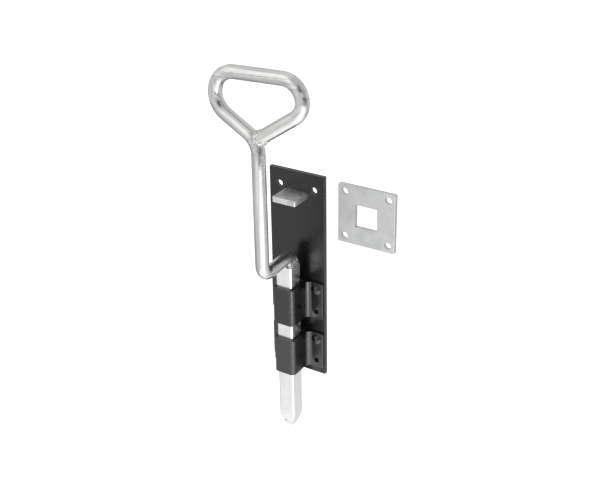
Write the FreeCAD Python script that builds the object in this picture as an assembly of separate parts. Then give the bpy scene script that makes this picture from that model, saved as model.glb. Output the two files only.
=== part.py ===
import FreeCAD, Part
import math
import os

from FreeCAD import Vector

# Spring loaded gate latch: a square bolt with a bent rod handle slides in two strap guides on a base plate.
# Millimetres. The origin is the middle of the base plate's back face, +Y points into the gate and +Z is up.

# Bolt bar
BAR_SIDE = 16.0
BAR_EDGE = 1.5
NOSE_LENGTH = 19.5
NOSE_TIP = 6.0
NOSE_ROUND = 1.2
BOLT_DROP = 56.0
REST_TRAVEL = 21.0
LIFT_TRAVEL = 48.0

# Strap guides
RUN_CLEARANCE = 0.3
SHEET = 2.5
GUIDE_HEIGHT = 37.0
GUIDE_SPACING = 15.5
GUIDE_BASE = 7.5
ROOT_BEND = 5.5
FLANGE_FLAT = 10.7
FLANGE_CORNER = 2.0
STRAP_ROUND = 0.5
FIXING_INSET = 7.25
FIXING_EDGE = 6.75
GUIDE_HOLE = 5.5

# Rivets of the guides
RIVET_HEAD = 10.6
RIVET_RISE = 3.0
RIVET_SHANK = 5.5
TAIL_FLARE = 1.2
TAIL_DEPTH = 1.4

# Base plate
PLATE_THICKNESS = 4.0
PLATE_MARGIN = 1.0
PLATE_CORNER = 0.6
PLATE_ROUND = 0.5
SCREW_HOLE = 6.5
TOP_HOLE_INSET = 14.6

# Stop ledge
LEDGE_WIDTH = 23.6
LEDGE_THICKNESS = 5.2
LEDGE_REACH = 21.8
LEDGE_INSET = 17.8
LEDGE_CORNER = 1.6
LEDGE_ROUND = 0.6
LEDGE_HOLE_GAP = 2.5
TENON_SHOULDER = 3.75

# Leaf springs
SPRING_SPACE = 8.6
SPRING_THICKNESS = 1.0
SPRING_SIDE_GAP = 1.0
SPRING_END_GAP = 1.0
SPRING_FOOT = 8.0
SPRING_TOE = 3.0
CROWN_GAP = 0.3
SPRING_RIVET_HEAD = 5.6
SPRING_RIVET_RISE = 1.4
SPRING_RIVET_SHANK = 3.2

# Handle
ROD = 12.0
ROD_END_ROUND = 0.8
LEG_INSET = 2.4
STEM_REACH = 32.4
HEEL_BEND = 10.5
FORK_RISE = 124.6
FORK_BEND = 19.5
LOOP_RISE = 55.8
LOOP_TILT = 2.25
LOOP_LEFT = 89.0
LOOP_RIGHT = 83.6
LOOP_END_RISE = 1.5
LEFT_BEND = 19.9
RIGHT_BEND = 16.9

# Welds
BEAD_RADIUS = 4.2
BEAD_LIFT = 0.5
BEAD_INSET = 0.4
LOOP_WELD_CROWN = 1.2
LOOP_WELD_SHIFT = 2.5

# Strike plate
STRIKE_SIDE = 54.8
STRIKE_THICKNESS = 4.0
STRIKE_CORNER = 1.0
STRIKE_PLAY = 2.5
STRIKE_HOLE_INSET = 6.4
STRIKE_GAP = 13.8
STRIKE_DROP = 1.5

# Depths, from the plate's back face at Y = 0 towards the user at -Y
plate_front = -PLATE_THICKNESS
bar_back = plate_front - SPRING_SPACE
bar_front = bar_back - BAR_SIDE
bar_middle = (bar_back + bar_front) / 2
stem_y = bar_front - STEM_REACH
flange_front = plate_front - SHEET

# Widths of the guides and the plate
wall_middle = BAR_SIDE / 2 + RUN_CLEARANCE + SHEET / 2
guide_half = wall_middle + SHEET / 2 + ROOT_BEND + FLANGE_FLAT
fixing_x = guide_half - FIXING_EDGE
plate_half = guide_half + PLATE_MARGIN

# Heights, first above the plate's bottom edge and then from the origin
upper_guide_base = GUIDE_BASE + GUIDE_HEIGHT + GUIDE_SPACING
bar_height = upper_guide_base + GUIDE_HEIGHT + REST_TRAVEL
ledge_height = bar_height + ROD + LIFT_TRAVEL
plate_height = ledge_height + LEDGE_THICKNESS + LEDGE_INSET
bottom_z = -plate_height / 2
top_z = plate_height / 2
guide_base_z = {"lower": bottom_z + GUIDE_BASE, "upper": bottom_z + upper_guide_base}
bar_top_z = bottom_z + bar_height
bar_tip_z = bottom_z - BOLT_DROP
ledge_z = bottom_z + ledge_height
leg_z = bar_top_z + ROD / 2
fork_z = leg_z + FORK_RISE

OUTWARD = Vector(0, -1, 0)
SIDEWAYS = Vector(1, 0, 0)
UPWARD = Vector(0, 0, 1)
TINY = 1e-6


def rounded_edges(points, radii):
    """Edges of a path of straight runs, with a tangent arc of the given radius at each inner point."""
    edges = []
    start = points[0]
    for before, corner, after, radius in zip(points, points[1:], points[2:], radii):
        back = (before - corner).normalize()
        ahead = (after - corner).normalize()
        half = back.getAngle(ahead) / 2
        arc_start = corner + back * (radius / math.tan(half))
        arc_end = corner + ahead * (radius / math.tan(half))
        arc_middle = corner + (back + ahead).normalize() * (radius / math.sin(half) - radius)
        if start.distanceToPoint(arc_start) > TINY:
            edges.append(Part.LineSegment(start, arc_start).toShape())
        edges.append(Part.Arc(arc_start, arc_middle, arc_end).toShape())
        start = arc_end
    edges.append(Part.LineSegment(start, points[-1]).toShape())
    return edges


def sweep(edges, section):
    """Solid of a closed section carried along a path."""
    return Part.Wire(edges).makePipeShell([section], True, False).removeSplitter()


def bent_strip(points, radii, thickness, width, across):
    """Flat strip bent along its middle line. across is the direction of its width."""
    along = (points[1] - points[0]).normalize()
    half_width = across * (width / 2)
    half_thickness = along.cross(across).normalize() * (thickness / 2)
    corners = [
        points[0] + half_width + half_thickness,
        points[0] - half_width + half_thickness,
        points[0] - half_width - half_thickness,
        points[0] + half_width - half_thickness,
    ]
    section = Part.makePolygon(corners + corners[:1])
    return sweep(rounded_edges(points, radii), section)


def flat_plate(x, z, width, height, thickness, corner):
    """Plate with rounded corners, centred on x and z, with its back face at Y = 0."""
    half_w, half_h = width / 2, height / 2
    middle = Vector(x, 0, z - half_h)
    corners = [Vector(x + sx * half_w, 0, z + sz * half_h) for sx, sz in ((1, -1), (1, 1), (-1, 1), (-1, -1))]
    outline = Part.Wire(rounded_edges([middle] + corners + [middle], [corner] * 4))
    return Part.Face(outline).extrude(OUTWARD * thickness).removeSplitter()


def rounded_front(plate, thickness):
    """Plate whose front rim is rounded, as shears leave it."""
    rim = [edge for edge in plate.Edges if edge.BoundBox.YMax < TINY - thickness]
    return plate.makeFillet(PLATE_ROUND, rim)


def screw_hole(x, z, diameter, depth):
    """Cutter for a round hole from the back face forward."""
    return Part.makeCylinder(diameter / 2, depth, Vector(x, 0, z), OUTWARD)


def rivet(x, z, seat, head, rise, shank):
    """Round-headed rivet along Y: its head sits at Y = seat, and its flared tail is flush with the back."""
    head_r, shank_r = head / 2, shank / 2
    dome_r = (head_r ** 2 + rise ** 2) / (2 * rise)
    dome_centre = seat - rise + dome_r
    half_angle = math.asin(head_r / dome_r) / 2
    crown = Vector(0, seat - rise, 0)
    shoulder = Vector(dome_r * math.sin(half_angle), dome_centre - dome_r * math.cos(half_angle), 0)
    rim = Vector(head_r, seat, 0)
    outline = [
        rim,
        Vector(shank_r, seat, 0),
        Vector(shank_r, -TAIL_DEPTH, 0),
        Vector(shank_r + TAIL_FLARE, 0, 0),
        Vector(0, 0, 0),
        crown,
    ]
    edges = [Part.Arc(crown, shoulder, rim).toShape()]
    edges += [Part.LineSegment(a, b).toShape() for a, b in zip(outline, outline[1:])]
    turned = Part.Face(Part.Wire(edges)).revolve(Vector(0, 0, 0), Vector(0, 1, 0), 360)
    return turned.translated(Vector(x, 0, z))


def guide_rivets():
    """One rivet near the top of each flange of each guide."""
    heights = [base + GUIDE_HEIGHT - FIXING_INSET for base in guide_base_z.values()]
    return [rivet(side * fixing_x, z, flange_front, RIVET_HEAD, RIVET_RISE, RIVET_SHANK)
            for z in heights for side in (-1, 1)]


def guide(base, rivets):
    """Omega strap round the bar: flanges on the plate, root bends, walls and a front."""
    z = base + GUIDE_HEIGHT / 2
    flange_y = plate_front - SHEET / 2
    front_y = bar_front - RUN_CLEARANCE - SHEET / 2
    root = ROOT_BEND + SHEET / 2
    nose = BAR_EDGE + RUN_CLEARANCE + SHEET / 2
    line = [
        Vector(-guide_half, flange_y, z),
        Vector(-wall_middle, flange_y, z),
        Vector(-wall_middle, front_y, z),
        Vector(wall_middle, front_y, z),
        Vector(wall_middle, flange_y, z),
        Vector(guide_half, flange_y, z),
    ]
    strap = bent_strip(line, [root, nose, nose, root], SHEET, GUIDE_HEIGHT, UPWARD)
    corners = [edge for edge in strap.Edges
               if edge.BoundBox.YLength > SHEET / 2 and abs(edge.CenterOfMass.x) > guide_half - TINY]
    strap = strap.makeFillet(FLANGE_CORNER, corners)
    outer_rim = [edge for edge in strap.Edges
                 if edge.BoundBox.ZLength < TINY and edge.BoundBox.YMax < front_y - SHEET / 2 + TINY]
    strap = strap.makeFillet(STRAP_ROUND, outer_rim)
    holes = [screw_hole(side * fixing_x, base + FIXING_INSET, GUIDE_HOLE, -flange_front) for side in (-1, 1)]
    return strap.cut(holes + rivets)


def spring_rivets():
    """One rivet through the foot of each spring."""
    seat = plate_front - SPRING_THICKNESS
    return [rivet(0, base + SPRING_END_GAP + SPRING_FOOT / 2, seat,
                  SPRING_RIVET_HEAD, SPRING_RIVET_RISE, SPRING_RIVET_SHANK) for base in guide_base_z.values()]


def leaf_spring(base, rivets):
    """Bowed leaf behind the bar: riveted foot, a bow of equal reverse curves and a sliding toe."""
    foot_y = plate_front - SPRING_THICKNESS / 2
    start = base + SPRING_END_GAP
    end = base + GUIDE_HEIGHT - SPRING_END_GAP
    half_bow = (end - start - SPRING_FOOT - SPRING_TOE) / 2
    rise = SPRING_SPACE - CROWN_GAP - SPRING_THICKNESS
    bend = (half_bow ** 2 + rise ** 2) / (4 * rise)
    slope = 2 * math.atan(rise / half_bow)
    setback = bend * math.tan(slope / 2)
    bow_start = start + SPRING_FOOT
    crown_z = bow_start + half_bow
    peak_y = foot_y - (half_bow - setback) * math.tan(slope)
    line = [
        Vector(0, foot_y, start),
        Vector(0, foot_y, bow_start + setback),
        Vector(0, peak_y, crown_z),
        Vector(0, foot_y, crown_z + half_bow - setback),
        Vector(0, foot_y, end),
    ]
    width = BAR_SIDE - 2 * SPRING_SIDE_GAP
    strip = bent_strip(line, [bend, bend, bend], SPRING_THICKNESS, width, SIDEWAYS)
    return strip.cut(rivets)


def stop_ledge():
    """Flat bar across the bolt's path, with a tenon through the plate that is peened flush at the back."""
    half = LEDGE_WIDTH / 2
    front = plate_front - LEDGE_REACH
    line = [
        Vector(half, plate_front, ledge_z),
        Vector(half, front, ledge_z),
        Vector(-half, front, ledge_z),
        Vector(-half, plate_front, ledge_z),
    ]
    edges = rounded_edges(line, [LEDGE_CORNER, LEDGE_CORNER])
    edges.append(Part.LineSegment(line[-1], line[0]).toShape())
    bar = Part.Face(Part.Wire(edges)).extrude(UPWARD * LEDGE_THICKNESS)
    rims = [edge for edge in bar.Edges
            if edge.BoundBox.ZLength < TINY and edge.CenterOfMass.y < plate_front - TINY]
    bar = bar.makeFillet(LEDGE_ROUND, rims)
    tenon_half = half - TENON_SHOULDER
    corner = Vector(-tenon_half, plate_front, ledge_z)
    tenon = Part.makeBox(2 * tenon_half, PLATE_THICKNESS, LEDGE_THICKNESS, corner)
    return bar.fuse(tenon).removeSplitter()


def base_plate(fitted):
    """Flat plate with screw holes beside the ledge and under the guides, cut out round the fitted pieces."""
    plate = flat_plate(0, 0, 2 * plate_half, plate_height, PLATE_THICKNESS, PLATE_CORNER)
    plate = rounded_front(plate, PLATE_THICKNESS)
    top_hole_x = LEDGE_WIDTH / 2 + LEDGE_HOLE_GAP + SCREW_HOLE / 2
    holes = []
    for side in (-1, 1):
        holes.append(screw_hole(side * top_hole_x, top_z - TOP_HOLE_INSET, SCREW_HOLE, PLATE_THICKNESS))
        for base in guide_base_z.values():
            holes.append(screw_hole(side * fixing_x, base + FIXING_INSET, GUIDE_HOLE, PLATE_THICKNESS))
    return plate.cut(holes + fitted)


def nose_outline():
    """Side view of the bar in X and Z: straight sides and a nose of two arcs tangent to them."""
    half, tip_half = BAR_SIDE / 2, NOSE_TIP / 2
    taper = half - tip_half
    arc_r = (taper ** 2 + NOSE_LENGTH ** 2) / (2 * taper)
    half_angle = math.asin(NOSE_LENGTH / arc_r) / 2
    nose_z = bar_tip_z + NOSE_LENGTH
    belly_x = half - arc_r + arc_r * math.cos(half_angle)
    belly_z = nose_z - arc_r * math.sin(half_angle)
    left, right = [[
        Vector(side * half, 0, bar_top_z),
        Vector(side * half, 0, nose_z),
        Vector(side * belly_x, 0, belly_z),
        Vector(side * tip_half, 0, bar_tip_z),
    ] for side in (-1, 1)]
    return Part.Wire([
        Part.LineSegment(left[0], right[0]).toShape(),
        Part.LineSegment(right[0], right[1]).toShape(),
        Part.Arc(right[1], right[2], right[3]).toShape(),
        Part.LineSegment(right[3], left[3]).toShape(),
        Part.Arc(left[3], left[2], left[1]).toShape(),
        Part.LineSegment(left[1], left[0]).toShape(),
    ])


def bolt_bar():
    """Square bar with rounded edges, common to its two side views, so that the nose has four curved sides."""
    half = BAR_SIDE / 2
    across = Part.Face(nose_outline()).extrude(Vector(0, BAR_SIDE, 0)).translated(Vector(0, -half, 0))
    along = across.rotated(Vector(0, 0, 0), UPWARD, 90)
    section = flat_plate(0, 0, BAR_SIDE, BAR_SIDE, bar_top_z - bar_tip_z, BAR_EDGE)
    shaft = section.rotated(Vector(0, 0, 0), SIDEWAYS, 90).translated(Vector(0, 0, bar_top_z))
    bar = shaft.common([across]).common([along])
    tip = [edge for edge in bar.Edges if edge.BoundBox.ZMax < bar_tip_z + TINY]
    bar = bar.makeFillet(NOSE_ROUND, tip)
    return bar.translated(Vector(0, bar_middle, 0))


def handle_points():
    """Where the straight runs of the rod would meet: leg, stem, left branch, top and right branch."""
    slope = math.tan(math.radians(LOOP_TILT))
    loop_z = fork_z + LOOP_RISE
    return [
        Vector(0, bar_back - LEG_INSET, leg_z),
        Vector(0, stem_y, leg_z),
        Vector(0, stem_y, fork_z),
        Vector(-LOOP_LEFT, stem_y, loop_z - LOOP_LEFT * slope),
        Vector(LOOP_RIGHT, stem_y, loop_z + LOOP_RIGHT * slope),
        Vector(0, stem_y, fork_z + LOOP_END_RISE),
    ]


def rod_along(edges):
    """Round rod along a path."""
    start = edges[0].valueAt(edges[0].FirstParameter)
    direction = edges[0].tangentAt(edges[0].FirstParameter)
    section = Part.Wire(Part.makeCircle(ROD / 2, start, direction))
    return sweep(edges, section)


def handle():
    """One rod bent round to a loop, whose end butts against the fork."""
    edges = rounded_edges(handle_points(), [HEEL_BEND, FORK_BEND, LEFT_BEND, RIGHT_BEND])
    rod = rod_along(edges[:-1])
    leg_end = [edge for edge in rod.Edges if edge.BoundBox.YMin > bar_back - LEG_INSET - TINY]
    rod = rod.makeFillet(ROD_END_ROUND, leg_end)
    return rod.fuse(rod_along(edges[-1:])).removeSplitter()


def handle_weld(rod):
    """Round-ended bead on each side of the leg, on top of the bar."""
    foot = math.sqrt(BEAD_RADIUS ** 2 - BEAD_LIFT ** 2)
    bead_x = BAR_SIDE / 2 - BEAD_INSET - foot
    ends = [bar_front + BEAD_INSET + BEAD_RADIUS, bar_back - BEAD_INSET - BEAD_RADIUS]
    corner = Vector(-BAR_SIDE / 2, bar_front, bar_top_z - BEAD_RADIUS)
    bar_end = Part.makeBox(BAR_SIDE, BAR_SIDE, BEAD_RADIUS, corner)
    beads = []
    for side in (-1, 1):
        start, end = [Vector(side * bead_x, y, bar_top_z + BEAD_LIFT) for y in ends]
        bead = Part.makeCylinder(BEAD_RADIUS, end.y - start.y, start, Vector(0, 1, 0))
        bead = bead.fuse([Part.makeSphere(BEAD_RADIUS, point) for point in (start, end)]).removeSplitter()
        beads += bead.cut([bar_end, rod]).Solids
    return Part.makeCompound(beads)


def loop_weld(rod):
    """Ball of weld where the end of the rod meets the fork."""
    right_corner, end = handle_points()[-2:]
    centre = end + (right_corner - end).normalize() * LOOP_WELD_SHIFT
    return Part.makeSphere(ROD / 2 + LOOP_WELD_CROWN, centre).cut(rod)


def strike_plate():
    """Square plate that takes the nose: a square hole in the middle and a screw hole at each corner."""
    x = plate_half + STRIKE_GAP + STRIKE_SIDE / 2
    z = top_z - STRIKE_DROP - STRIKE_SIDE / 2
    reach = STRIKE_SIDE / 2 - STRIKE_HOLE_INSET
    opening = BAR_SIDE + 2 * STRIKE_PLAY
    plate = flat_plate(x, z, STRIKE_SIDE, STRIKE_SIDE, STRIKE_THICKNESS, STRIKE_CORNER)
    plate = rounded_front(plate, STRIKE_THICKNESS)
    corner = Vector(x - opening / 2, -STRIKE_THICKNESS, z - opening / 2)
    window = Part.makeBox(opening, STRIKE_THICKNESS, opening, corner)
    holes = [screw_hole(x + sx * reach, z + sz * reach, SCREW_HOLE, STRIKE_THICKNESS)
             for sx in (-1, 1) for sz in (-1, 1)]
    return plate.cut([window] + holes)


def build():
    """Every piece by name."""
    straps = guide_rivets()
    feet = spring_rivets()
    ledge = stop_ledge()
    rod = handle()
    return {
        "base_plate": base_plate(straps + feet + [ledge]),
        "upper_guide": guide(guide_base_z["upper"], straps),
        "lower_guide": guide(guide_base_z["lower"], straps),
        "guide_rivets": Part.makeCompound(straps),
        "stop_ledge": ledge,
        "upper_spring": leaf_spring(guide_base_z["upper"], feet),
        "lower_spring": leaf_spring(guide_base_z["lower"], feet),
        "spring_rivets": Part.makeCompound(feet),
        "bolt_bar": bolt_bar(),
        "handle": rod,
        "handle_weld": handle_weld(rod),
        "loop_weld": loop_weld(rod),
        "strike_plate": strike_plate(),
    }


os.makedirs("parts", exist_ok=True)
for name, shape in build().items():
    shape.exportStep(f"parts/{name}.step")
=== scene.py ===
import math
import random

import bmesh
import bpy
from mathutils import Matrix, Vector


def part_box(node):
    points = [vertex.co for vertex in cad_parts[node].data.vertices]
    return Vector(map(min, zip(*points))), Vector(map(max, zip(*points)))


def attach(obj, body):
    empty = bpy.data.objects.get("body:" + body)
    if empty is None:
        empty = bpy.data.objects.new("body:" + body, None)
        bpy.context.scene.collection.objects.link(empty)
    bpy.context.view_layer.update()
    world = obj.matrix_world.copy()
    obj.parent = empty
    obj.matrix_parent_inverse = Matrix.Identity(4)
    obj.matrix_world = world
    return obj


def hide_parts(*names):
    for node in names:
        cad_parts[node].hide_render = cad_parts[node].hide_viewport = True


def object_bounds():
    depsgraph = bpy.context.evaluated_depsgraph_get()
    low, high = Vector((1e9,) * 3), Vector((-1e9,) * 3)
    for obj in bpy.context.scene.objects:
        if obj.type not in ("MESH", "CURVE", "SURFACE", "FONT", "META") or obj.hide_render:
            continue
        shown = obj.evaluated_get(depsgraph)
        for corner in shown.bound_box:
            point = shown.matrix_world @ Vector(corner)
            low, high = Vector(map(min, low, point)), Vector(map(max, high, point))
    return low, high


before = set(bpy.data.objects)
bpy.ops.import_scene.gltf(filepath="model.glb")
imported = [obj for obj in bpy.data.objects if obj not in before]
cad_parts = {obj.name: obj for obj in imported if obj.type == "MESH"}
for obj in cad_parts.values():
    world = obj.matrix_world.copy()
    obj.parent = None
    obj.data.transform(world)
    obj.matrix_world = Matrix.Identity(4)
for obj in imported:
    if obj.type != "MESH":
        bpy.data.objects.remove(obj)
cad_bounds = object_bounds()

# Spring loaded gate latch: finishes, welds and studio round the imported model.
# Metres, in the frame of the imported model: the gate's face is Y = 0, the user stands at -Y and +Z is up.
# Angles are in degrees. Azimuth 0 is in front of the latch and 90 at its right.

WHITE = (1, 1, 1, 1)

# Camera, fitted to the photograph
CAMERA_PLACE = (0.460256, -0.729555, 0.466356)
CAMERA_AZIMUTH = 32.25
CAMERA_ELEVATION = 27.25
CAMERA_ROLL = -0.97
CAMERA_LENS = 64.4
CAMERA_SENSOR = 36.0
CAMERA_CLIP = (0.01, 50)

# Floor, its lift to white for the camera, and the even fill light of the room
FLOOR_DROP = 0.35
FLOOR_HALF = 8.0
FLOOR_COLOUR = (0.72, 0.72, 0.72, 1)
FLOOR_ROUGHNESS = 0.9
CAMERA_LIFT = 0.75
FILL_LEVEL = 0.7

# The studio as shiny surfaces see it: an even room with a soft box up to the left and a dim right side.
# Each patch of the room has an azimuth, an elevation, the angles where its edge starts and ends, and
# a change of level.
ROOM_LEVEL = 0.88
SOFT_BOX = (-30, 27, 24, 40, 0.62)
DIM_SIDE = (75, 12, 10, 62, -0.36)

# The near floor in the same mirrors: its level at the middle, the rise per metre along X and Y, and the
# distances between which it turns into the room
NEAR_LEVEL = 0.82
NEAR_SLOPE = (0.38, -0.38, 0)
NEAR_EDGE = (1.0, 2.0)

# Pool of light on the near floor: X and Y, spread, the X between which it fades in, and its level
POOL_PLACE = (0.2, -0.42)
POOL_SPREAD = (0.40, 0.40, 1)
POOL_EDGE = (-0.4, -0.1)
POOL_LEVEL = 0.8

# Lamps: azimuth, elevation, distance, width, height, brightness, and whether shiny surfaces show the lamp
LAMPS = {
    "key": (-22, 28, 1.2, 1.4, 0.8, 1.0, False),
    "strip": (52, -27, 1.0, 0.5, 0.2, 6.4, True),
}

# Weld beads along the leg: rows of (side offset, height above the bar, radius)
LEG_ROWS = ((0.0052, 0.0006, 0.0027), (0.0044, 0.0034, 0.0029))
LEG_PITCH = 0.0019
LEG_END = 0.0032
LEG_WOBBLE = 0.12
LEG_SEED = 5

# Weld round the end of the right branch, at the fork: rows of (place along the branch, radius, depth)
BRANCH_END = (0, -0.061, 0.1496)
BRANCH_CORNER = (0.0836, -0.061, 0.20718)
ROD_RADIUS = 0.006
RING_BALLS = 20
RING_ROWS = ((-0.0006, 0.0026, 0.0015), (0.0016, 0.0024, 0.0016), (0.0036, 0.0021, 0.0017))
RING_SKEW = 0.62
RING_WOBBLE = 0.2
RING_SHAKE = 0.0009
RING_SEED = 11

# Fusing of the weld balls into one bead
BALL_DETAIL = 3
WELD_VOXEL = 0.00022
MELT_STEPS = 3

# Lines drawn along the rod. Each straight run has a point and a direction, and RUN_EDGE gives the
# distances from its axis between which its lines give way to those of the stem.
RUNS = (
    ((0, -0.061, 0.0235), (0, 1, 0)),
    ((0, -0.061, 0.1481), (-0.862, 0, 0.507)),
    ((0, -0.061, 0.1496), (0.8235, 0, 0.5673)),
    ((0, -0.061, 0.2039), (0.9992, 0, 0.0393)),
)
RUN_EDGE = (0.0070, 0.0100)
STEM_DIRECTION = (0, 0, 1)
STREAK_KEPT = 0.04
STREAK_SCALE = 420
STREAK_DETAIL = 1.0
STREAK_ROUGHNESS = 0.5
STREAK_DEPTH = 0.000045

# Marks on the metal and painted reflections: centre and half lengths of the patch, its turn about Y and its
# tone
ROD_MARKS_AND_REFLECTIONS = (
    ((-0.0371, -0.0642, 0.1846), (0.0010, 0.0026, 0.0030), -29, 0.24),
    ((-0.0353, -0.0646, 0.1800), (0.0008, 0.0026, 0.0026), -29, 0.95),
    ((-0.0341, -0.0646, 0.1752), (0.0012, 0.0026, 0.0036), -29, 0.22),
    ((0.0430, -0.0650, 0.2001), (0.0010, 0.0026, 0.0034), -33, 0.24),
    ((0.0456, -0.0655, 0.1957), (0.0008, 0.0026, 0.0026), -33, 0.95),
    ((0.0478, -0.0658, 0.1918), (0.0011, 0.0026, 0.0038), -25, 0.22),
    ((0.0036, -0.0652, 0.1385), (0.0030, 0.0026, 0.0075), 0, 0.46),
    ((0.0040, -0.0652, 0.1340), (0.0012, 0.0026, 0.0100), 0, 0.2),
    # Painted reflections: these two long thin lines, along the stem and along the top run, stand for the edge
    # between the soft box and the floor as the rod mirrors it.
    ((0.0057, -0.0628, 0.0960), (0.0020, 0.0008, 0.0420), 0, 0.50),
    ((0.0050, -0.0669, 0.2052), (0.0340, 0.0026, 0.0005), -2.25, 0.36),
)
NOSE_MARK = ((-0.0020, -0.0266, -0.1497), (0.0013, 0.0020, 0.0018), 0, 0.45)
PATCH_RAGGED = 0.5
PATCH_EDGE = (0.6, 1.1)

# Screw holes through the guides, whose walls are bare of gloss and darkened in colour as painted shade
HOLE_X = 0.02025
HOLE_Z = (-0.08575, -0.03325)
HOLE_RADIUS = 0.0028
HOLE_PAINTED_SHADE = (0.001, 0.001, 0.001, 1)

# Side walls of the guides, whose gloss is darkened as painted shade: how squarely they face sideways, their
# reach from the middle and the darkening of the gloss
WALL_FACING = 0.92
WALL_REACH = 0.0148
WALL_PAINTED_SHADE = (0.05, 0.05, 0.05, 1)

# Noises: features per metre and detail. The range is the part of a noise's values that is put to use.
NOISE_ROUGHNESS = 0.55
NOISE_RANGE = (0.3, 0.7)
PATCH_NOISE = (1100, 3)
ZINC_CLOUDS = (95, 5)
ZINC_GRAIN = (1000, 3)
ZINC_DULLNESS = (240, 5)
ZINC_WAVES = (170, 3)
WELD_CLOUDS = (520, 5)
WELD_DULLNESS = (700, 5)
WELD_GRAIN = (700, 3)
PAINT_CLOUDS = (160, 6)
PAINT_DULLNESS = (220, 5)
PAINT_PEEL = (480, 2)
PAINT_SPECKS = (3200, 2)
SPRING_CLOUDS = (90, 4)
SPRING_GRAIN = (2400, 3)
SPRING_STRETCH = (1, 0.04, 0.04)

# Depths of the relief in the finishes
WAVE_DEPTH = 0.00006
WELD_DEPTH = 0.00013
PEEL_DEPTH = 0.00002
SPECK_DEPTH = 0.000004
SPRING_DEPTH = 0.00002

# Colour stops of the finishes, and roughness where they are smoothest and roughest
WELD_TONES = ((0.32, (0.34, 0.34, 0.34)), (0.5, (0.58, 0.58, 0.57)), (0.7, (0.72, 0.72, 0.71)))
WELD_GLOSS = (0.34, 0.56)
PAINT_TONES = ((0.3, (0.0035, 0.0035, 0.004)), (0.75, (0.007, 0.007, 0.0075)))
SPRING_TONES = ((0.3, (0.20, 0.21, 0.23)), (0.7, (0.33, 0.34, 0.36)))
SPRING_GLOSS = (0.24, 0.42)

# Black paints: roughness where smoothest and roughest, and index of refraction
PAINTS = {
    "plate_paint": (0.24, 0.34, 1.52),
    "upper_guide_paint": (0.18, 0.28, 1.64),
    "lower_guide_paint": (0.28, 0.4, 1.75),
}

# Zinc platings: tones from dark to light, roughness where smoothest and roughest, stretch of the grain or
# None for lines along the rod, depth of the lines, marks and painted reflections, and share of the clouds in
# the tone
ZINC_RANGE = (0.36, 0.64)
DULLNESS_RANGE = (0.35, 0.65)
DULLNESS_SHARE = 0.6
ZINCS = {
    "zinc_bar": (
        ((0.78, 0.78, 0.78), (0.86, 0.86, 0.85)), (0.22, 0.32), (1, 1, 0.012), 0.000012, (NOSE_MARK,), 0.65,
    ),
    "zinc_rod": (
        ((0.47, 0.47, 0.47), (0.68, 0.68, 0.67)), (0.22, 0.33), None, STREAK_DEPTH, ROD_MARKS_AND_REFLECTIONS, 0.2,
    ),
    "zinc_ledge": (
        ((0.54, 0.54, 0.54), (0.86, 0.86, 0.85)), (0.4, 0.54), (0.08, 1, 1), 0.00002, (), 0.65,
    ),
    "zinc_strike": (
        ((0.50, 0.505, 0.52), (0.56, 0.565, 0.565), (0.60, 0.61, 0.60)), (0.34, 0.48), (1, 1, 0.05),
        0.000006, (), 0.65,
    ),
}

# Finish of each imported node
FINISHES = {
    "base_plate": "plate_paint",
    "upper_guide": "upper_guide_paint",
    "lower_guide": "lower_guide_paint",
    "guide_rivets": "upper_guide_paint",
    "upper_spring": "spring_steel",
    "lower_spring": "spring_steel",
    "spring_rivets": "spring_steel",
    "bolt_bar": "zinc_bar",
    "handle": "zinc_rod",
    "stop_ledge": "zinc_ledge",
    "strike_plate": "zinc_strike",
    "handle_weld": "zinc_weld",
    "loop_weld": "zinc_weld",
}


def add(tree, kind, inputs=None, **settings):
    """New node. Inputs are values, or sockets of other nodes to link from."""
    made = tree.nodes.new(kind)
    for name, value in settings.items():
        setattr(made, name, value)
    for name, value in (inputs or {}).items():
        if isinstance(value, bpy.types.NodeSocket):
            tree.links.new(value, made.inputs[name])
        else:
            made.inputs[name].default_value = value
    return made


def maths(tree, operation, *values):
    """Output of a sum on one or two values."""
    return add(tree, "ShaderNodeMath", dict(enumerate(values)), operation=operation).outputs[0]


def vectors(tree, operation, *values):
    """Outputs of a sum on one or two vectors."""
    return add(tree, "ShaderNodeVectorMath", dict(enumerate(values)), operation=operation).outputs


def axes(tree, vector):
    """X, Y and Z of a vector."""
    return add(tree, "ShaderNodeSeparateXYZ", {"Vector": vector}).outputs


def own_place(tree):
    """Place in the piece's own coordinates."""
    return add(tree, "ShaderNodeTexCoord").outputs["Object"]


def between(tree, value, low, high, start=0.0, end=1.0):
    """Value carried from start...end to low...high."""
    inputs = {"Value": value, "From Min": start, "From Max": end, "To Min": low, "To Max": high}
    return add(tree, "ShaderNodeMapRange", inputs).outputs["Result"]


def soft_step(tree, value, start, end):
    """0 below start, 1 above end and a smooth change between them."""
    inputs = {"Value": value, "From Min": start, "From Max": end}
    return add(tree, "ShaderNodeMapRange", inputs, interpolation_type="SMOOTHSTEP").outputs["Result"]


def mix(tree, factor, first, second):
    """Value between first and second."""
    return add(tree, "ShaderNodeMix", {0: factor, 2: first, 3: second}).outputs[0]


def blend(tree, factor, first, second):
    """Colour between first and second."""
    return add(tree, "ShaderNodeMix", {0: factor, 6: first, 7: second}, data_type="RGBA").outputs[2]


def shares(tree, first, second, share):
    """Sum of first and second, where first has the given share."""
    return maths(tree, "ADD", maths(tree, "MULTIPLY", first, share), maths(tree, "MULTIPLY", second, 1 - share))


def ramp(tree, factor, stops):
    """Colour ramp with (place, colour) stops."""
    made = add(tree, "ShaderNodeValToRGB", {"Fac": factor})
    band = made.color_ramp
    while len(band.elements) < len(stops):
        band.elements.new(0.5)
    for element, (place, colour) in zip(band.elements, stops):
        element.position = place
        element.color = (*colour, 1)
    return made.outputs["Color"]


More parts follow.
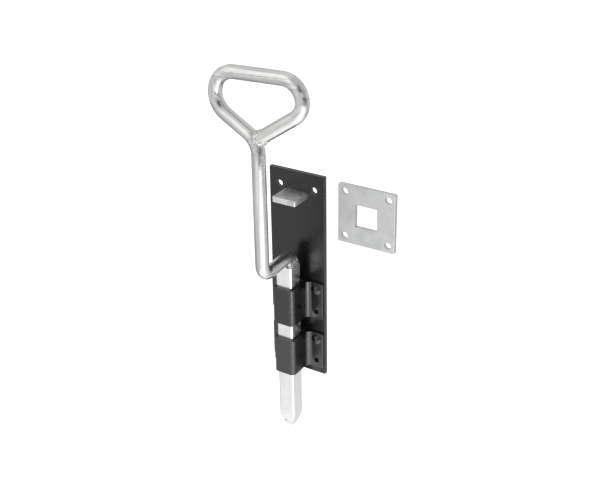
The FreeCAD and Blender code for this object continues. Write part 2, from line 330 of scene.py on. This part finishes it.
def noise(tree, scale, detail, stretch=(1, 1, 1)):
    """Noise on the piece's own coordinates, with features about 1 / scale metres across."""
    place = add(tree, "ShaderNodeMapping", {"Vector": own_place(tree), "Scale": stretch}).outputs["Vector"]
    inputs = {"Vector": place, "Scale": scale, "Detail": detail, "Roughness": NOISE_ROUGHNESS}
    return add(tree, "ShaderNodeTexNoise", inputs).outputs["Fac"]


def bump(tree, height, distance, normal=None):
    """Normal from a height of 0 to 1 times distance in metres."""
    inputs = {"Height": height, "Distance": distance}
    if normal is not None:
        inputs["Normal"] = normal
    return add(tree, "ShaderNodeBump", inputs).outputs["Normal"]


def new_material(name):
    """Empty material and its node tree."""
    material = bpy.data.materials.new(name)
    material.use_nodes = True
    material.node_tree.nodes.clear()
    return material, material.node_tree


def finish_material(tree, inputs):
    """Principled surface to the output."""
    surface = add(tree, "ShaderNodeBsdfPrincipled", inputs)
    add(tree, "ShaderNodeOutputMaterial", {"Surface": surface.outputs["BSDF"]})


def within(tree, centre, reach, turn):
    """1 inside an ellipsoid with ragged edges and 0 outside it."""
    inputs = {
        "Vector": own_place(tree), "Location": centre, "Rotation": (0, math.radians(turn), 0), "Scale": reach,
    }
    scaled = add(tree, "ShaderNodeMapping", inputs, vector_type="TEXTURE").outputs["Vector"]
    far = vectors(tree, "LENGTH", scaled)["Value"]
    shake = between(tree, noise(tree, *PATCH_NOISE), -PATCH_RAGGED, PATCH_RAGGED, *NOISE_RANGE)
    return between(tree, maths(tree, "ADD", far, shake), 1.0, 0.0, *PATCH_EDGE)


def drawn(tree, direction):
    """Noise drawn out along a direction."""
    place = own_place(tree)
    along = vectors(tree, "DOT_PRODUCT", place, direction)["Value"]
    part = maths(tree, "MULTIPLY", along, 1 - STREAK_KEPT)
    excess = add(tree, "ShaderNodeVectorMath", {0: direction, "Scale": part}, operation="SCALE")
    kept = vectors(tree, "SUBTRACT", place, excess.outputs["Vector"])["Vector"]
    inputs = {"Vector": kept, "Scale": STREAK_SCALE, "Detail": STREAK_DETAIL, "Roughness": STREAK_ROUGHNESS}
    return add(tree, "ShaderNodeTexNoise", inputs).outputs["Fac"]


def rod_lines(tree):
    """Lines along the rod: along the stem, and along each straight run near it."""
    lines = drawn(tree, STEM_DIRECTION)
    place = own_place(tree)
    for point, direction in RUNS:
        offset = vectors(tree, "SUBTRACT", place, point)["Vector"]
        across = vectors(tree, "CROSS_PRODUCT", offset, direction)["Vector"]
        aside = soft_step(tree, vectors(tree, "LENGTH", across)["Value"], *RUN_EDGE)
        lines = mix(tree, aside, drawn(tree, direction), lines)
    return lines


def zinc(name, tones, gloss, grain, line_depth, marks_and_reflections, cloudy):
    """Zinc-plated steel: cloudy tone, uneven gloss, lines of the stock's grain, marks, and on the rod painted
    reflection lines.
    """
    material, tree = new_material(name)
    clouds = noise(tree, *ZINC_CLOUDS)
    lines = noise(tree, *ZINC_GRAIN, grain) if grain else rod_lines(tree)
    low, high = ZINC_RANGE
    stops = [(low + (high - low) * index / (len(tones) - 1), tone) for index, tone in enumerate(tones)]
    colour = ramp(tree, shares(tree, clouds, lines, cloudy), stops)
    # Marks, and on the rod painted reflection lines, blended into the tone.
    for centre, reach, turn, tone in marks_and_reflections:
        colour = blend(tree, within(tree, centre, reach, turn), colour, (tone, tone, tone, 1))
    uneven = shares(tree, noise(tree, *ZINC_DULLNESS), lines, DULLNESS_SHARE)
    rough = between(tree, uneven, *gloss, *DULLNESS_RANGE)
    wave = bump(tree, noise(tree, *ZINC_WAVES), WAVE_DEPTH)
    normal = bump(tree, lines, line_depth, wave)
    finish_material(tree, {"Base Color": colour, "Metallic": 1.0, "Roughness": rough, "Normal": normal})
    return material


def zinc_weld():
    """Weld metal under the same plating, rougher and duller, with a cloudy tone."""
    material, tree = new_material("zinc_weld")
    colour = ramp(tree, noise(tree, *WELD_CLOUDS), WELD_TONES)
    rough = between(tree, noise(tree, *WELD_DULLNESS), *WELD_GLOSS, *NOISE_RANGE)
    normal = bump(tree, noise(tree, *WELD_GRAIN), WELD_DEPTH)
    finish_material(tree, {"Base Color": colour, "Metallic": 1.0, "Roughness": rough, "Normal": normal})
    return material


def hole_walls(tree):
    """1 inside the screw holes through the guides and 0 elsewhere."""
    place = axes(tree, own_place(tree))
    side = maths(tree, "SUBTRACT", maths(tree, "ABSOLUTE", place["X"]), HOLE_X)
    rows = [maths(tree, "ABSOLUTE", maths(tree, "SUBTRACT", place["Z"], z)) for z in HOLE_Z]
    rise = maths(tree, "MINIMUM", *rows)
    off = maths(tree, "ADD", maths(tree, "POWER", side, 2.0), maths(tree, "POWER", rise, 2.0))
    return maths(tree, "LESS_THAN", off, HOLE_RADIUS ** 2)


def side_walls(tree):
    """1 on the guides' side walls and 0 elsewhere."""
    facing = axes(tree, add(tree, "ShaderNodeNewGeometry").outputs["Normal"])
    sideways = between(tree, maths(tree, "ABSOLUTE", facing["X"]), 0.0, 1.0, WALL_FACING, 1.0)
    off = maths(tree, "ABSOLUTE", axes(tree, own_place(tree))["X"])
    return maths(tree, "MULTIPLY", sideways, maths(tree, "LESS_THAN", off, WALL_REACH))


def black_paint(name, smooth, rough, index):
    """Glossy black paint: orange peel, dust in the film and uneven gloss, with painted shade on the side walls'
    gloss and in the screw holes, whose walls are also dull.
    """
    material, tree = new_material(name)
    inside = hole_walls(tree)
    colour = ramp(tree, noise(tree, *PAINT_CLOUDS), PAINT_TONES)
    # Painted shade: a darker colour on the screw holes' walls.
    colour = blend(tree, inside, colour, HOLE_PAINTED_SHADE)
    dull = between(tree, noise(tree, *PAINT_DULLNESS), smooth, rough, *NOISE_RANGE)
    dull = maths(tree, "MAXIMUM", dull, inside)
    peel = bump(tree, noise(tree, *PAINT_PEEL), PEEL_DEPTH)
    specks = bump(tree, noise(tree, *PAINT_SPECKS), SPECK_DEPTH, peel)
    # Painted shade: the gloss of the side walls, picked by which way they face, is darkened.
    wall_shade = blend(tree, side_walls(tree), WHITE, WALL_PAINTED_SHADE)
    finish_material(tree, {
        "Base Color": colour, "Roughness": dull, "IOR": index, "Specular Tint": wall_shade, "Normal": specks,
    })
    return material


def spring_steel():
    """Tempered spring steel: blue-grey, with rolling lines along the leaf."""
    material, tree = new_material("spring_steel")
    colour = ramp(tree, noise(tree, *SPRING_CLOUDS), SPRING_TONES)
    lines = noise(tree, *SPRING_GRAIN, SPRING_STRETCH)
    rough = between(tree, lines, *SPRING_GLOSS, *NOISE_RANGE)
    normal = bump(tree, lines, SPRING_DEPTH)
    finish_material(tree, {"Base Color": colour, "Metallic": 1.0, "Roughness": rough, "Normal": normal})
    return material


def room_level(tree, direction):
    """Brightness of the studio in a direction, as shiny surfaces see it."""
    level = ROOM_LEVEL
    for azimuth, elevation, inner, outer, change in (SOFT_BOX, DIM_SIDE):
        turn, rise = math.radians(azimuth), math.radians(elevation)
        centre = (math.sin(turn) * math.cos(rise), -math.cos(turn) * math.cos(rise), math.sin(rise))
        facing = vectors(tree, "DOT_PRODUCT", direction, centre)["Value"]
        near = soft_step(tree, facing, math.cos(math.radians(outer)), math.cos(math.radians(inner)))
        level = maths(tree, "ADD", maths(tree, "MULTIPLY", near, change), level)
    return level


def mirrored_ray(tree):
    """1 for a ray that a shiny or clear surface sends on."""
    ray = add(tree, "ShaderNodeLightPath").outputs
    return maths(tree, "MAXIMUM", ray["Is Glossy Ray"], ray["Is Transmission Ray"])


def floor_level(tree, height):
    """Brightness of the floor as shiny surfaces see it: the near floor, the room beyond it and the pool."""
    place = add(tree, "ShaderNodeNewGeometry").outputs["Position"]
    direction = vectors(tree, "NORMALIZE", place)["Vector"]
    near = maths(tree, "ADD", vectors(tree, "DOT_PRODUCT", place, NEAR_SLOPE)["Value"], NEAR_LEVEL)
    reach = vectors(tree, "DISTANCE", place, (0, 0, height))["Value"]
    ground = mix(tree, soft_step(tree, reach, *NEAR_EDGE), near, room_level(tree, direction))
    pool = {"Vector": place, "Location": (*POOL_PLACE, height), "Scale": POOL_SPREAD}
    offset = add(tree, "ShaderNodeMapping", pool, vector_type="TEXTURE").outputs["Vector"]
    far = vectors(tree, "DOT_PRODUCT", offset, offset)["Value"]
    glow = maths(tree, "EXPONENT", maths(tree, "MULTIPLY", far, -0.5))
    glow = maths(tree, "MULTIPLY", glow, soft_step(tree, axes(tree, place)["X"], *POOL_EDGE))
    return maths(tree, "ADD", maths(tree, "MULTIPLY", glow, POOL_LEVEL), ground)


def floor_material(height):
    """Pale floor that shows white to the camera, keeps the shadow and shows its pool of light in mirrors."""
    material, tree = new_material("floor")
    lift = maths(tree, "MULTIPLY", add(tree, "ShaderNodeLightPath").outputs["Is Camera Ray"], CAMERA_LIFT)
    plain = add(tree, "ShaderNodeBsdfPrincipled", {
        "Base Color": FLOOR_COLOUR, "Roughness": FLOOR_ROUGHNESS, "Emission Color": WHITE,
        "Emission Strength": lift,
    })
    shown = add(tree, "ShaderNodeEmission", {"Color": WHITE, "Strength": floor_level(tree, height)})
    surface = add(tree, "ShaderNodeMixShader", {
        0: mirrored_ray(tree), 1: plain.outputs["BSDF"], 2: shown.outputs["Emission"],
    })
    add(tree, "ShaderNodeOutputMaterial", {"Surface": surface.outputs["Shader"]})
    return material


def make_floor():
    """Large flat floor below the lowest point that the bolt reaches."""
    lowest = cad_bounds[0].z - FLOOR_DROP
    signs = ((-1, -1), (1, -1), (1, 1), (-1, 1))
    corners = [Vector((x * FLOOR_HALF, y * FLOOR_HALF, lowest)) for x, y in signs]
    mesh = bpy.data.meshes.new("floor")
    mesh.from_pydata(corners, [], [(0, 1, 2, 3)])
    mesh.materials.append(floor_material(lowest))
    floor = bpy.data.objects.new("floor", mesh)
    bpy.context.scene.collection.objects.link(floor)


def aimed(azimuth, elevation):
    """Rotation of a camera or lamp that looks at the middle from a direction."""
    turn = Matrix.Rotation(math.radians(azimuth), 4, "Z")
    tilt = Matrix.Rotation(math.radians(90 - elevation), 4, "X")
    return turn @ tilt


def make_camera():
    """Camera of the photograph."""
    data = bpy.data.cameras.new("camera")
    data.lens = CAMERA_LENS
    data.sensor_width = CAMERA_SENSOR
    data.clip_start, data.clip_end = CAMERA_CLIP
    camera = bpy.data.objects.new("camera", data)
    bpy.context.scene.collection.objects.link(camera)
    roll = Matrix.Rotation(math.radians(CAMERA_ROLL), 4, "Z")
    camera.matrix_world = Matrix.Translation(CAMERA_PLACE) @ aimed(CAMERA_AZIMUTH, CAMERA_ELEVATION) @ roll
    bpy.context.scene.camera = camera


def make_lamp(name, azimuth, elevation, distance, width, height, brightness, shown):
    """Soft box that faces the origin."""
    data = bpy.data.lights.new(name, "AREA")
    data.shape = "RECTANGLE"
    data.size = width
    data.size_y = height
    data.energy = brightness * math.pi * width * height
    lamp = bpy.data.objects.new(name, data)
    bpy.context.scene.collection.objects.link(lamp)
    lamp.matrix_world = aimed(azimuth, elevation) @ Matrix.Translation((0, 0, distance))
    lamp.visible_camera = False
    lamp.visible_glossy = shown


def make_world():
    """White room: white to the camera, its own shading in mirrors and an even fill on everything else."""
    world = bpy.data.worlds.new("studio")
    world.use_nodes = True
    tree = world.node_tree
    tree.nodes.clear()
    direction = add(tree, "ShaderNodeTexCoord").outputs["Generated"]
    fill = between(tree, add(tree, "ShaderNodeLightPath").outputs["Is Camera Ray"], FILL_LEVEL, 1.0)
    strength = mix(tree, mirrored_ray(tree), fill, room_level(tree, direction))
    back = add(tree, "ShaderNodeBackground", {"Color": WHITE, "Strength": strength})
    add(tree, "ShaderNodeOutputWorld", {"Surface": back.outputs["Background"]})
    bpy.context.scene.world = world


def lumps(name, balls, material, body, nodes):
    """One fused lumpy piece from (centre, radius) balls, which stands for the named nodes."""
    shape = bmesh.new()
    for centre, radius in balls:
        place = Matrix.Translation(centre)
        bmesh.ops.create_icosphere(shape, subdivisions=BALL_DETAIL, radius=radius, matrix=place)
    mesh = bpy.data.meshes.new(name)
    shape.to_mesh(mesh)
    shape.free()
    mesh.materials.append(material)
    piece = bpy.data.objects.new(name, mesh)
    bpy.context.scene.collection.objects.link(piece)
    fuse = piece.modifiers.new("fuse", "REMESH")
    fuse.mode = "VOXEL"
    fuse.voxel_size = WELD_VOXEL
    fuse.use_smooth_shade = True
    melt = piece.modifiers.new("melt", "SMOOTH")
    melt.iterations = MELT_STEPS
    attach(piece, body)
    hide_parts(*nodes)


def leg_weld(material):
    """Rippled fillet on each side of the handle's leg, on top of the bar."""
    low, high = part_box("bolt_bar")
    spread = random.Random(LEG_SEED)
    first, last = low.y + LEG_END, high.y - LEG_END
    count = round((last - first) / LEG_PITCH) + 1
    balls = []
    for side in (-1, 1):
        for offset, lift, size in LEG_ROWS:
            for index in range(count):
                y = first + (last - first) * index / (count - 1)
                radius = size * (1 - spread.uniform(0, LEG_WOBBLE))
                balls.append((Vector((side * offset, y, high.z + lift)), radius))
    lumps("leg_weld_bead", balls, material, "bolt", ["handle_weld"])


def fork_weld(material):
    """Lumpy collar of weld where the right branch of the loop butts against the fork."""
    spread = random.Random(RING_SEED)
    end = Vector(BRANCH_END)
    along = (Vector(BRANCH_CORNER) - end).normalized()
    front = Vector((0, -1, 0))
    over = front.cross(along)
    balls = []
    for row, size, depth in RING_ROWS:
        for index in range(RING_BALLS):
            angle = 2 * math.pi * index / RING_BALLS
            ring = front * math.cos(angle) + over * math.sin(angle)
            skew = RING_SKEW * ROD_RADIUS * abs(math.sin(angle))
            shift = skew + spread.uniform(-RING_SHAKE, RING_SHAKE)
            centre = end + ring * (ROD_RADIUS - depth) + along * (row + shift)
            balls.append((centre, size * (1 + spread.uniform(-RING_WOBBLE, RING_WOBBLE))))
    lumps("fork_weld_bead", balls, material, "bolt", ["loop_weld"])


def dress():
    """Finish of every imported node, and the welds."""
    materials = {name: black_paint(name, *values) for name, values in PAINTS.items()}
    materials.update({name: zinc(name, *values) for name, values in ZINCS.items()})
    materials["spring_steel"] = spring_steel()
    materials["zinc_weld"] = zinc_weld()
    for node, finish in FINISHES.items():
        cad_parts[node].data.materials[0] = materials[finish]
    leg_weld(materials["zinc_weld"])
    fork_weld(materials["zinc_weld"])


make_camera()
make_world()
for lamp_name, lamp_values in LAMPS.items():
    make_lamp(lamp_name, *lamp_values)
make_floor()
dress()

bpy.context.scene.view_settings.view_transform = "Standard"
